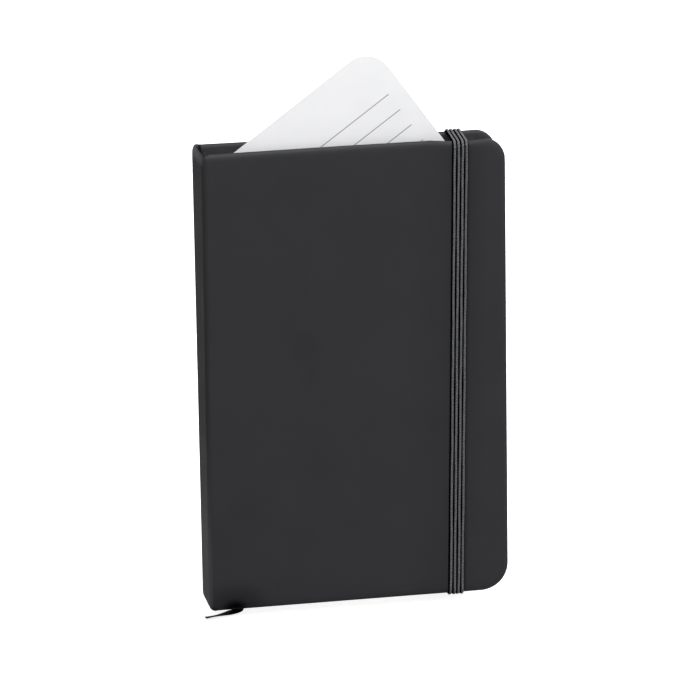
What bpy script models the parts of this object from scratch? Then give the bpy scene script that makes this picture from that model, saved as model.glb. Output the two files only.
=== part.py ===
"""Pocket notebook: a sewn block of ruled pages in a hard case cover, with an
elastic closure, a ribbon marker and one loose ruled sheet kept behind the
front cover.

The book stands upright. Units are metres, written through MM.
  X  from the spine's outer face (x = 0) to the fore-edge
  Y  from the front cover (-Y) to the back cover (+Y)
  Z  up, from tail to head, with z = 0 at mid-height
"""

import math

import bmesh
import bpy
from mathutils import Matrix, Vector

MM = 0.001

# ---------------------------------------------------------------- dimensions
BOOK_W = 91.8            # spine face to fore-edge
BOOK_H = 140.0
BOOK_T = 15.0            # over both covers
CORNER_R = 8.0           # fore-edge corners of the covers
SKIN = 0.45              # covering material
BOARD = 1.6
TURN_IN = 0.3            # covering folded round inside the board
TURN_IN_W = 12.0
CLEAR = 0.05             # between layers that are glued in the real book
PASTEDOWN = 0.2
EDGE_ROUND = 0.5         # softened cover edges
SPINE_R = 2.0            # rounding where the spine meets each cover
SPINE_BOARD = 0.9
SPINE_FLAT = BOOK_T / 2 - SPINE_R

SQUARE = 3.0             # covers stand this far past the pages
PAGE_X0 = 2.5
PAGE_X1 = BOOK_W - 2.1
PAGE_Z = BOOK_H / 2 - SQUARE
PAGE_R = 7.0
SECTION = 1.39           # one sewn section of sixteen leaves
LEAF = 0.12              # endpaper leaf

SLOT_Z = 55.0            # elastic's slots in the back cover
ELASTIC_W = 4.95
ELASTIC_T = 0.9
ELASTIC_X = 76.7         # centre of the elastic at mid-height
ELASTIC_LEAN = 0.0186    # sideways drift per unit of height on the front

RIBBON_W = 4.5
RIBBON_T = 0.2

SHEET_CORNER = (52.6, 99.15)     # top corner of the loose sheet, x and z
SHEET_TILT = math.radians(35.6)
SHEET_W = 58.0
SHEET_H = 60.0
SHEET_R = 8.5
SHEET_T = 0.14

HALF_T = BOOK_T / 2
HALF_H = BOOK_H / 2


# -------------------------------------------------------------------- set-up
for old in list(bpy.data.objects):
    bpy.data.objects.remove(old, do_unlink=True)

scene = bpy.context.scene
book = bpy.data.collections.new("pocket_notebook")
scene.collection.children.link(book)
helpers = bpy.data.collections.new("cutters")
helpers.hide_render = True
scene.collection.children.link(helpers)


def material(name, colour, roughness, metallic=0.0):
    mat = bpy.data.materials.new(name)
    mat.use_nodes = True
    shader = mat.node_tree.nodes["Principled BSDF"]
    shader.inputs["Base Color"].default_value = (*colour, 1.0)
    shader.inputs["Roughness"].default_value = roughness
    shader.inputs["Metallic"].default_value = metallic
    return mat


COVER = material("cover_black", (0.032, 0.032, 0.034), 0.62)
BOARD_MAT = material("grey_board", (0.30, 0.28, 0.25), 0.9)
PAPER = material("page_paper", (0.83, 0.82, 0.79), 0.85)
ENDPAPER = material("endpaper", (0.80, 0.79, 0.75), 0.85)
SHEET = material("loose_paper", (0.84, 0.84, 0.85), 0.85)
ELASTIC = material("elastic_black", (0.05, 0.05, 0.052), 0.8)
RIBBON = material("ribbon_black", (0.02, 0.02, 0.022), 0.45)
CLOTH = material("mull_cloth", (0.62, 0.60, 0.55), 0.9)
BAND = material("headband_cotton", (0.70, 0.69, 0.66), 0.85)
THREAD = material("linen_thread", (0.75, 0.73, 0.68), 0.8)


# ------------------------------------------------------------------- helpers
def empty(name, x, y, z=0.0, parent=None):
    """A pivot: its origin lies on a joint's axis."""
    pivot = bpy.data.objects.new(name, None)
    pivot.empty_display_size = 5 * MM
    book.objects.link(pivot)
    place(pivot, x, y, z, parent)
    return pivot


def place(obj, x, y, z, parent=None):
    """Set the object's origin at a point given in book coordinates."""
    origin = Vector((x * MM, y * MM, z * MM))
    if parent is not None:
        obj.parent = parent
        origin -= WORLD[parent.name]
    obj.location = origin
    WORLD[obj.name] = Vector((x * MM, y * MM, z * MM))


WORLD = {}


def corner_arc(cx, cy, r, start, end, steps=6):
    return [
        (cx + r * math.cos(a), cy + r * math.sin(a))
        for a in (start + (end - start) * i / steps for i in range(steps + 1))
    ]


def cover_outline(x0, x1, half_z, r):
    """Rectangle with its two fore-edge corners rounded, as (x, z) points."""
    return (
        [(x0, -half_z)]
        + corner_arc(x1 - r, -half_z + r, r, -math.pi / 2, 0)
        + corner_arc(x1 - r, half_z - r, r, 0, math.pi / 2)
        + [(x0, half_z)]
    )


def outline_curve(name, points, half, rounding=0.0):
    """A filled flat outline, extruded to both sides."""
    curve = bpy.data.curves.new(name, "CURVE")
    curve.dimensions = "2D"
    curve.fill_mode = "BOTH"
    curve.resolution_u = 1
    curve.extrude = (half - rounding) * MM
    if rounding:
        curve.bevel_depth = rounding * MM
        curve.bevel_resolution = 1
        curve.offset = -rounding * MM
    spline = curve.splines.new("POLY")
    spline.points.add(len(points) - 1)
    for point, (u, v) in zip(spline.points, points):
        point.co = (u * MM, v * MM, 0.0, 1.0)
    spline.use_cyclic_u = True
    return bpy.data.objects.new(name, curve)


def to_mesh(obj, matrix):
    """The outline as a closed mesh, turned into book coordinates."""
    book.objects.link(obj)
    bpy.context.view_layer.update()
    graph = bpy.context.evaluated_depsgraph_get()
    mesh = bpy.data.meshes.new_from_object(obj.evaluated_get(graph))
    name = obj.name
    bpy.data.objects.remove(obj, do_unlink=True)
    mesh.transform(matrix)
    work = bmesh.new()
    work.from_mesh(mesh)
    bmesh.ops.remove_doubles(work, verts=work.verts, dist=1e-6)
    bmesh.ops.recalc_face_normals(work, faces=work.faces)
    work.to_mesh(mesh)
    work.free()
    mesh.name = name
    return bpy.data.objects.new(name, mesh)


UPRIGHT = Matrix.Rotation(math.pi / 2, 4, "X")


def plate(name, points, y0, y1, rounding=0.0):
    """A flat piece parallel to the covers, between two y values."""
    flat = outline_curve(name, points, abs(y1 - y0) / 2, rounding)
    return to_mesh(flat, Matrix.Translation((0, (y0 + y1) / 2 * MM, 0)) @ UPRIGHT)


def column(name, points, half_z, z_mid=0.0):
    """An (x, y) outline carried along the height of the book."""
    flat = outline_curve(name, points, half_z)
    return to_mesh(flat, Matrix.Translation((0, 0, z_mid * MM)))


def block(name, low, high):
    """A rectangular cutter between two corners."""
    made = bpy.data.meshes.new(name)
    work = bmesh.new()
    bmesh.ops.create_cube(work, size=1.0)
    size = [(b - a) * MM for a, b in zip(low, high)]
    centre = [(a + b) / 2 * MM for a, b in zip(low, high)]
    bmesh.ops.scale(work, vec=size, verts=work.verts)
    bmesh.ops.translate(work, vec=centre, verts=work.verts)
    work.to_mesh(made)
    work.free()
    return bpy.data.objects.new(name, made)


def cut(obj, cutter):
    helpers.objects.link(cutter)
    cutter.hide_render = True
    cutter.display_type = "WIRE"
    mod = obj.modifiers.new(cutter.name, "BOOLEAN")
    mod.operation = "DIFFERENCE"
    mod.solver = "EXACT"
    mod.object = cutter


def strip(name, path, across, thick):
    """A band: an edge laid across is drawn along the path and made solid.

    path holds (x, y, z) centre points and across the half-width vector at
    each of them."""
    mesh = bpy.data.meshes.new(name)
    work = bmesh.new()
    first, side = Vector(path[0]) * MM, Vector(across[0]) * MM
    a, b = work.verts.new(first - side), work.verts.new(first + side)
    edge = work.edges.new((a, b))
    ends = [a, b]
    for point, half in zip(path[1:], across[1:]):
        made = bmesh.ops.extrude_edge_only(work, edges=[edge])["geom"]
        edge = next(g for g in made if isinstance(g, bmesh.types.BMEdge))
        fresh = list(edge.verts)
        # keep the two sides apart by which old corner each new one grew from
        fresh.sort(key=lambda v: (v.co - ends[0].co).length)
        fresh[0].co = (Vector(point) - Vector(half)) * MM
        fresh[1].co = (Vector(point) + Vector(half)) * MM
        ends = fresh
    bmesh.ops.recalc_face_normals(work, faces=work.faces)
    work.to_mesh(mesh)
    work.free()
    obj = bpy.data.objects.new(name, mesh)
    solid = obj.modifiers.new("thickness", "SOLIDIFY")
    solid.thickness = thick * MM
    solid.offset = 0.0
    solid.use_even_offset = True
    return obj


def rod(name, points, radius):
    """A round cord through the points."""
    curve = bpy.data.curves.new(name, "CURVE")
    curve.dimensions = "3D"
    curve.resolution_u = 1
    curve.bevel_depth = radius * MM
    curve.bevel_resolution = 1
    curve.use_fill_caps = True
    spline = curve.splines.new("POLY")
    spline.points.add(len(points) - 1)
    for point, co in zip(spline.points, points):
        point.co = (*(c * MM for c in co), 1.0)
    return bpy.data.objects.new(name, curve)


def finish(obj, mat, pivot):
    """Link a piece, give it its material and hang it on its pivot."""
    book.objects.link(obj)
    obj.data.materials.clear()
    obj.data.materials.append(mat)
    obj.parent = pivot
    obj.location = -WORLD[pivot.name]
    return obj


# -------------------------------------------------------------------- pivots
back_cover = empty("pivot_back_cover", 0, HALF_T)
spine = empty("pivot_spine_fold", 0, HALF_T, parent=back_cover)
front_joint = empty("pivot_front_joint", 0, -HALF_T, parent=spine)
front_cover = empty("pivot_front_cover", -0.3, -HALF_T - 0.3, parent=front_joint)
upper_pages = empty("pivot_upper_pages", 1.95, -0.075, parent=back_cover)
loose = empty("pivot_loose_sheet", 45.0, -4.43, 60.0, parent=upper_pages)
elastic_pivot = empty("pivot_elastic", ELASTIC_X, HALF_T, parent=back_cover)
ribbon_pivot = empty("pivot_ribbon", 5.3, 0.175, 66.0, parent=back_cover)


# -------------------------------------------------------------------- covers
def cover(side, pivot, slots=False):
    """One cover: board, covering with its turn-ins, and pasted endpaper.

    side is -1 for the front and +1 for the back; layers count inwards from
    the outer face."""
    which = "front" if side < 0 else "back"
    outer = side * HALF_T
    skin_in = outer - side * SKIN
    board_out = skin_in - side * CLEAR
    board_in = board_out - side * BOARD
    turn_out = board_in - side * CLEAR
    turn_in = turn_out - side * TURN_IN
    paste_out = turn_in - side * CLEAR
    paste_in = paste_out - side * PASTEDOWN
    hinge_x = SPINE_R + 0.1

    board = plate(
        which + "_board",
        cover_outline(3.0, BOOK_W - SKIN - CLEAR, HALF_H - SKIN - CLEAR, CORNER_R - SKIN - CLEAR),
        board_out,
        board_in,
    )
    skin = plate(
        which + "_cover_skin",
        cover_outline(-3.0, BOOK_W, HALF_H, CORNER_R),
        outer,
        turn_in,
        EDGE_ROUND,
    )
    low, high = sorted((outer + side, turn_in - side))
    cut(skin, block(which + "_hinge_cut", (-6, low, -80), (hinge_x, high, 80)))
    cut(
        skin,
        plate(
            which + "_board_pocket",
            cover_outline(-8.0, BOOK_W - SKIN, HALF_H - SKIN, CORNER_R - SKIN),
            skin_in,
            turn_out,
        ),
    )
    cut(
        skin,
        plate(
            which + "_turn_in_window",
            cover_outline(-9.0, BOOK_W - TURN_IN_W, HALF_H - TURN_IN_W, 2.0),
            board_in + side * 0.3,
            turn_in - side * 0.5,
        ),
    )
    if slots:
        for z, end in ((SLOT_Z, "head"), (-SLOT_Z, "tail")):
            x = ELASTIC_X + ELASTIC_LEAN * z
            cut(board, block(f"board_slot_{end}", (x - 3.1, board_in - 1, z - 0.8), (x + 3.1, outer + 1, z + 0.8)))
            cut(skin, block(f"skin_slot_{end}", (x - 3.1, board_in + 0.4, z - 0.8), (x + 3.1, outer + 1, z + 0.8)))
    pastedown = plate(
        which + "_pastedown",
        cover_outline(3.2, BOOK_W - SQUARE, HALF_H - SQUARE, PAGE_R - 1.0),
        paste_out,
        paste_in,
    )
    finish(board, BOARD_MAT, pivot)
    finish(skin, COVER, pivot)
    finish(pastedown, ENDPAPER, pivot)


cover(-1, front_cover)
cover(+1, back_cover, slots=True)


def bend(side, r, start, end, steps=5):
    """Points round the corner where the spine meets one cover.

    Angles run from 0 at the spine's flat to 90 at the cover's face."""
    return [
        (
            SPINE_R - r * math.cos(math.radians(a)),
            side * (SPINE_FLAT + r * math.sin(math.radians(a))),
        )
        for a in (start + (end - start) * i / steps for i in range(steps + 1))
    ]


def joint_skin(name, side, start, end):
    outer = bend(side, SPINE_R, start, end)
    inner = bend(side, SPINE_R - SKIN, start, end)
    return column(name, outer + inner[::-1], HALF_H)


finish(joint_skin("front_joint_skin", -1, 32, 85), COVER, front_joint)
finish(joint_skin("back_joint_skin", +1, 47, 85), COVER, back_cover)

spine_outer = bend(-1, SPINE_R, 30, 0) + bend(+1, SPINE_R, 0, 45)
spine_inner = bend(-1, SPINE_R - SKIN, 30, 0) + bend(+1, SPINE_R - SKIN, 0, 45)
finish(column("spine_skin", spine_outer + spine_inner[::-1], HALF_H), COVER, spine)

board_y = SPINE_FLAT - 0.3
finish(
    column(
        "spine_board",
        [
            (SKIN + CLEAR, -board_y),
            (SKIN + CLEAR + SPINE_BOARD, -board_y),
            (SKIN + CLEAR + SPINE_BOARD, board_y),
            (SKIN + CLEAR, board_y),
        ],
        HALF_H - SKIN - CLEAR,
    ),
    BOARD_MAT,
    spine,
)


# --------------------------------------------------------------------- block
def leaf_outline(x0=PAGE_X0):
    return cover_outline(x0, PAGE_X1, PAGE_Z, PAGE_R)


section_faces = {
    "section_1": (-4.25, -4.25 + SECTION, upper_pages),
    "section_2": (-2.81, -2.81 + SECTION, upper_pages),
    "section_3": (-1.37, -1.37 + SECTION, upper_pages),
    "section_4": (0.33, 0.33 + SECTION, back_cover),
    "section_5": (1.77, 1.77 + SECTION, back_cover),
    "section_6": (3.21, 3.21 + SECTION, back_cover),
}
for name, (y0, y1, pivot) in section_faces.items():
    finish(plate(name, leaf_outline(), y0, y1), PAPER, pivot)

finish(plate("front_flyleaf", leaf_outline(2.8), -4.75, -4.75 + LEAF), ENDPAPER, front_joint)
finish(plate("back_flyleaf", leaf_outline(2.8), 4.75 - LEAF, 4.75), ENDPAPER, back_cover)

finish(
    column("spine_lining", [(2.0, -4.5), (2.15, -4.5), (2.15, 4.5), (2.0, 4.5)], 64.0),
    CLOTH,
    back_cover,
)

band_r = 0.5
for name, z in (("headband", PAGE_Z + band_r + 0.15), ("tailband", -PAGE_Z - band_r - 0.15)):
    finish(rod(name, [(3.1, -4.4, z), (3.1, 0, z), (3.1, 4.4, z)], band_r), BAND, back_cover)

stitch_x, stations = 2.33, (-56, -34, -12, 12, 34, 56)
stitches = []
for i, z in enumerate(stations):
    reach = 4.1 if i % 2 == 0 else -4.1
    stitches += [(stitch_x, -reach, z), (stitch_x, reach, z)]
finish(rod("sewing_thread", stitches, 0.13), THREAD, back_cover)


# --------------------------------------------------------------- loose sheet
def loose_outline():
    """A small ruled sheet, turned so that one rounded corner points up."""
    along = (-math.cos(SHEET_TILT), -math.sin(SHEET_TILT))      # its top edge
    down = (math.sin(SHEET_TILT), -math.cos(SHEET_TILT))        # its right edge
    local = (
        corner_arc(SHEET_R, SHEET_R, SHEET_R, math.pi, 1.5 * math.pi)
        + [(SHEET_W, 0.0), (SHEET_W, SHEET_H)]
        + corner_arc(SHEET_R, SHEET_H - SHEET_R, SHEET_R, 0.5 * math.pi, math.pi)
    )
    cx, cz = SHEET_CORNER
    return [
        (cx + u * along[0] + v * down[0], cz + u * along[1] + v * down[1])
        for u, v in local
    ]


sheet_y = -4.43
finish(
    plate("loose_sheet", loose_outline(), sheet_y - SHEET_T / 2, sheet_y + SHEET_T / 2),
    SHEET,
    loose,
)


# ------------------------------------------------------------------- elastic
def elastic_path():
    """The closure's centre line, from one slot round the book to the other."""
    lift = ELASTIC_T / 2 + 0.06
    out_y, out_z, r = HALF_T + lift, HALF_H + lift, 0.9
    path = [(HALF_T - 1.9, SLOT_Z), (HALF_T - 0.3, SLOT_Z)]
    path += corner_arc(out_y - 0.62, SLOT_Z + 0.62, 0.62, -math.pi / 2, 0, 4)
    path += corner_arc(out_y - r, out_z - r, r, 0, math.pi / 2, 4)
    path += corner_arc(-out_y + r, out_z - r, r, math.pi / 2, math.pi, 4)
    half = len(path)
    path += [(y, -z) for y, z in reversed(path[:half])]
    return path


points = []
for y, z in elastic_path():
    # the top and bottom legs carry on drifting the same way as the front does
    back = 0.5 * (y + HALF_T) / BOOK_T
    x = ELASTIC_X + ELASTIC_LEAN * z + (back if z > 0 else -back) * 0.4
    points.append((x, y, z))
finish(
    strip("elastic_band", points, [(ELASTIC_W / 2, 0, 0)] * len(points), ELASTIC_T),
    ELASTIC,
    elastic_pivot,
)


# -------------------------------------------------------------------- ribbon
half = RIBBON_W / 2
ribbon_points = [
    ((5.3, 0.175, 66.0), (half, 0, 0)),
    ((6.8, 0.175, 0.0), (half, 0, 0)),
    ((8.1, 0.175, -66.5), (half, 0, 0)),
    ((8.2, 0.175, -70.2), (half, 0, 0)),
    ((8.1, -0.25, -71.2), (half * 0.99, 0.15, 0)),
    ((7.6, -1.2, -71.85), (half * 0.96, 0.55, 0.1)),
    ((6.5, -2.6, -72.2), (half * 0.87, -1.1 * -1, 0.15)),
    ((4.9, -4.2, -72.4), (half * 0.70, 1.55, 0.2)),
    ((2.7, -5.7, -72.5), (half * 0.52, 1.85, 0.25)),
    ((0.2, -6.9, -72.5), (half * 0.42, 1.98, 0.3)),
    ((-2.2, -7.9, -72.45), (half * 0.38, 2.02, 0.3)),
]
finish(
    strip("ribbon_marker", [p for p, _ in ribbon_points], [a for _, a in ribbon_points], RIBBON_T),
    RIBBON,
    ribbon_pivot,
)
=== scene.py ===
import math

import bmesh
import bpy
import numpy as np
from mathutils import Matrix, Vector


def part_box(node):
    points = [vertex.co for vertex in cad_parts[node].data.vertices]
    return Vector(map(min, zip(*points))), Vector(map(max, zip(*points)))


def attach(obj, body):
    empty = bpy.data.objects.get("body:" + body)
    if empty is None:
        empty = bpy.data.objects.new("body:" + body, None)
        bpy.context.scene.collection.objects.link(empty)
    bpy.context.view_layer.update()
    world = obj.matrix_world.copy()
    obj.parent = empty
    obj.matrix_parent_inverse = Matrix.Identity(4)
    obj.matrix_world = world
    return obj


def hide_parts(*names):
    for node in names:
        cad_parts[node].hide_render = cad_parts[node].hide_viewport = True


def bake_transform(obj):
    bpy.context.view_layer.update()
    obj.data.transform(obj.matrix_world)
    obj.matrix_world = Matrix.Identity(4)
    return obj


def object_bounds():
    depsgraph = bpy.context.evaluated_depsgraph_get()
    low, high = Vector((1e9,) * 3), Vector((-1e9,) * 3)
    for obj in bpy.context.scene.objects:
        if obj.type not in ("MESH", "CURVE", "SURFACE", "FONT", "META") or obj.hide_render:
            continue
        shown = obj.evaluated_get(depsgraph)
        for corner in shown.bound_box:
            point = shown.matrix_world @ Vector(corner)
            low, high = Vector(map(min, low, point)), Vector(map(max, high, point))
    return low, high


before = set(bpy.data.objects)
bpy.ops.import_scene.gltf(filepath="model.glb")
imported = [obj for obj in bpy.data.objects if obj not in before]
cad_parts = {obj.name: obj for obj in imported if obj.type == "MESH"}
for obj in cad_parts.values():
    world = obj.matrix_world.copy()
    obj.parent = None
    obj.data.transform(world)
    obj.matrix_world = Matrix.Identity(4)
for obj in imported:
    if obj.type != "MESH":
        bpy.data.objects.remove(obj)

# Looks of the pocket notebook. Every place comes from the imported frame.
# X runs from the spine to the fore-edge, Y from the front to the back cover,
# Z from tail to head. Lengths below are in millimetres until MM is applied.

CAD_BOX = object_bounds()
MM = 0.001
scene = bpy.context.scene


def box_mm(node):
    lo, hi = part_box(node)
    return np.array(lo) / MM, np.array(hi) / MM


front_lo, front_hi = box_mm("front_cover_skin")
back_lo, back_hi = box_mm("back_cover_skin")
X1 = front_hi[0]                      # fore-edge
HALF_T = back_hi[1]                   # outer face of the back cover
HALF_H = front_hi[2]
THICK = front_hi[1] - front_lo[1]     # one cover with its turn-in
SPINE_R = 1.5
SPINE_FLAT = HALF_T - SPINE_R
CORNER_R = 8.0
HEAD_R, TAIL_R = 6.8, 8.4            # the covering's corners are not quite alike
TURN_IN_W = 12.0
SKIN, TURN_IN = 0.45, 0.3

page_lo, page_hi = box_mm("section_4")
PAGE_X0, PAGE_X1 = page_lo[0], page_hi[0]
PAGE_Z = page_hi[2]
PAGE_R = 7.0
SECTIONS = ["section_%d" % i for i in range(1, 7)]
rng = np.random.default_rng(7)

# where the elastic runs down the front cover
band_cad = np.array([v.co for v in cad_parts["elastic_band"].data.vertices]) / MM
front_pick = band_cad[band_cad[:, 1] < -HALF_T]
top_pick = front_pick[front_pick[:, 2] > HALF_H - 3]
bottom_pick = front_pick[front_pick[:, 2] < -HALF_H + 3]
x_top = (top_pick[:, 0].min() + top_pick[:, 0].max()) / 2
x_bottom = (bottom_pick[:, 0].min() + bottom_pick[:, 0].max()) / 2
LEAN = (x_top - x_bottom) / (2 * HALF_H)
x_middle = (x_top + x_bottom) / 2
SLOT_Z = 55.0


# ------------------------------------------------------------ mesh utilities
def make_object(name, verts_mm, faces, mat, sharp=38.0, weld=0.0):
    """A closed mesh with outward faces, smooth shading and sharp creases."""
    mesh = bpy.data.meshes.new(name)
    work = bmesh.new()
    vs = [work.verts.new(Vector(v) * MM) for v in np.asarray(verts_mm, float)]
    for f in faces:
        loop = []
        for i in f:
            if not loop or vs[i] is not loop[-1]:
                loop.append(vs[i])
        if len(loop) > 2:
            try:
                work.faces.new(loop)
            except ValueError:
                pass
    if weld:
        bmesh.ops.remove_doubles(work, verts=work.verts, dist=weld * MM)
    loose = [v for v in work.verts if not v.link_faces]
    bmesh.ops.delete(work, geom=loose, context="VERTS")
    bmesh.ops.recalc_face_normals(work, faces=work.faces)
    work.to_mesh(mesh)
    work.free()
    obj = bpy.data.objects.new(name, mesh)
    scene.collection.objects.link(obj)
    dress(obj, mat, sharp)
    return obj


def dress(obj, mat, sharp=38.0):
    mesh = obj.data
    mesh.materials.clear()
    mesh.materials.append(mat)
    mesh.polygons.foreach_set("use_smooth", np.ones(len(mesh.polygons), bool))
    mesh.set_sharp_from_angle(angle=math.radians(sharp))
    keep_rest(obj)


def keep_rest(obj):
    """Stores each point's place at rest, so that a pattern stays put when the piece bends."""
    mesh = obj.data
    co = np.empty(len(mesh.vertices) * 3, np.float32)
    mesh.vertices.foreach_get("co", co)
    layer = mesh.attributes.get("rest") or mesh.attributes.new("rest", "FLOAT_VECTOR", "POINT")
    layer.data.foreach_set("vector", co)


def quads(m, n, offset=0, wrap_m=False, wrap_n=False):
    """Faces of an m by n grid of points stored row by row."""
    out = []
    for i in range(m if wrap_m else m - 1):
        for j in range(n if wrap_n else n - 1):
            a, b = i * n + j, ((i + 1) % m) * n + j
            c, d = ((i + 1) % m) * n + (j + 1) % n, i * n + (j + 1) % n
            out.append((a + offset, b + offset, c + offset, d + offset))
    return out


def thin_solid(P, N, t):
    """Points and faces of a thin closed sheet about the grid P with normals N."""
    m, n, _ = P.shape
    k = m * n
    verts = np.vstack([(P + N * t / 2).reshape(-1, 3), (P - N * t / 2).reshape(-1, 3)])
    faces = quads(m, n)
    faces += [f[::-1] for f in quads(m, n, k)]
    rim = [i * n for i in range(m)] + [(m - 1) * n + j for j in range(1, n)]
    rim += [i * n + n - 1 for i in range(m - 2, -1, -1)] + [j for j in range(n - 2, 0, -1)]
    for a, b in zip(rim, rim[1:] + rim[:1]):
        faces.append((a, b, b + k, a + k))
    return verts, faces


def merge_parts(parts):
    verts, faces, base = [], [], 0
    for v, f in parts:
        verts.append(v)
        faces += [tuple(i + base for i in q) for q in f]
        base += len(v)
    return np.vstack(verts), faces


def smooth_path(points, steps):
    """Catmull-Rom through the points."""
    pts = np.array(points, float)
    pad = np.vstack([2 * pts[0] - pts[1], pts, 2 * pts[-1] - pts[-2]])
    out = []
    for i in range(1, len(pad) - 2):
        p0, p1, p2, p3 = pad[i - 1 : i + 3]
        for k in range(steps):
            t = k / steps
            out.append(0.5 * ((2 * p1) + (p2 - p0) * t + (2 * p0 - 5 * p1 + 4 * p2 - p3) * t * t + (3 * p1 - p0 - 3 * p2 + p3) * t**3))
    out.append(pts[-1])
    return np.array(out)


# ----------------------------------------------------------------- materials
class Nodes:
    """Short hand for building a node material."""

    def __init__(self, name):
        self.mat = bpy.data.materials.new(name)
        self.mat.use_nodes = True
        self.tree = self.mat.node_tree
        self.shader = self.tree.nodes["Principled BSDF"]

    def add(self, kind, **values):
        node = self.tree.nodes.new(kind)
        for key, value in values.items():
            if hasattr(node, key):
                setattr(node, key, value)
            else:
                node.inputs[key.replace("_", " ")].default_value = value
        return node

    def link(self, a, b):
        self.tree.links.new(a, b)

    def rest(self):
        node = self.add("ShaderNodeAttribute", attribute_name="rest")
        return node.outputs["Vector"]

    def attribute(self, name):
        return self.add("ShaderNodeAttribute", attribute_name=name).outputs["Fac"]

    def split(self, vector):
        node = self.add("ShaderNodeSeparateXYZ")
        self.link(vector, node.inputs[0])
        return node.outputs

    def math(self, op, a, b=None, c=None, clamp=False):
        node = self.tree.nodes.new("ShaderNodeMath")
        node.operation = op
        node.use_clamp = clamp
        for i, v in enumerate((a, b, c)):
            if v is None:
                continue
            if isinstance(v, (int, float)):
                node.inputs[i].default_value = v
            else:
                self.link(v, node.inputs[i])
        return node.outputs[0]

    def noise(self, vector, scale, detail=3.0, rough=0.5, distortion=0.0):
        node = self.tree.nodes.new("ShaderNodeTexNoise")
        node.inputs["Scale"].default_value = scale
        node.inputs["Detail"].default_value = detail
        node.inputs["Roughness"].default_value = rough
        node.inputs["Distortion"].default_value = distortion
        self.link(vector, node.inputs["Vector"])
        return node.outputs[0]

    def scaled(self, vector, s):
        node = self.tree.nodes.new("ShaderNodeVectorMath")
        node.operation = "MULTIPLY"
        node.inputs[1].default_value = s
        self.link(vector, node.inputs[0])
        return node.outputs[0]

    def mapped(self, value, a0, a1, b0, b1, smooth=False):
        node = self.tree.nodes.new("ShaderNodeMapRange")
        node.interpolation_type = "SMOOTHSTEP" if smooth else "LINEAR"
        for i, v in enumerate((a0, a1, b0, b1)):
            node.inputs[1 + i].default_value = v
        self.link(value, node.inputs[0])
        return node.outputs[0]

    def mix(self, factor, a, b):
        node = self.tree.nodes.new("ShaderNodeMix")
        node.data_type = "RGBA"
        for socket, v in ((node.inputs[0], factor), (node.inputs[6], a), (node.inputs[7], b)):
            if isinstance(v, (int, float)):
                socket.default_value = v
            elif isinstance(v, tuple):
                socket.default_value = (*v, 1.0)
            else:
                self.link(v, socket)
        return node.outputs[2]

    def bump(self, height, strength, distance, under=None):
        node = self.tree.nodes.new("ShaderNodeBump")
        node.inputs["Strength"].default_value = strength
        node.inputs["Distance"].default_value = distance
        self.link(height, node.inputs["Height"])
        if under is not None:
            self.link(under, node.inputs["Normal"])
        return node.outputs[0]

    def finish(self, colour, roughness, normal=None, **values):
        for socket, v in (("Base Color", colour), ("Roughness", roughness)):
            if isinstance(v, tuple):
                self.shader.inputs[socket].default_value = (*v, 1.0)
            elif isinstance(v, (int, float)):
                self.shader.inputs[socket].default_value = v
            else:
                self.link(v, self.shader.inputs[socket])
        if normal is not None:
            self.link(normal, self.shader.inputs["Normal"])
        for key, v in values.items():
            self.shader.inputs[key.replace("_", " ")].default_value = v
        return self.mat


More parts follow.
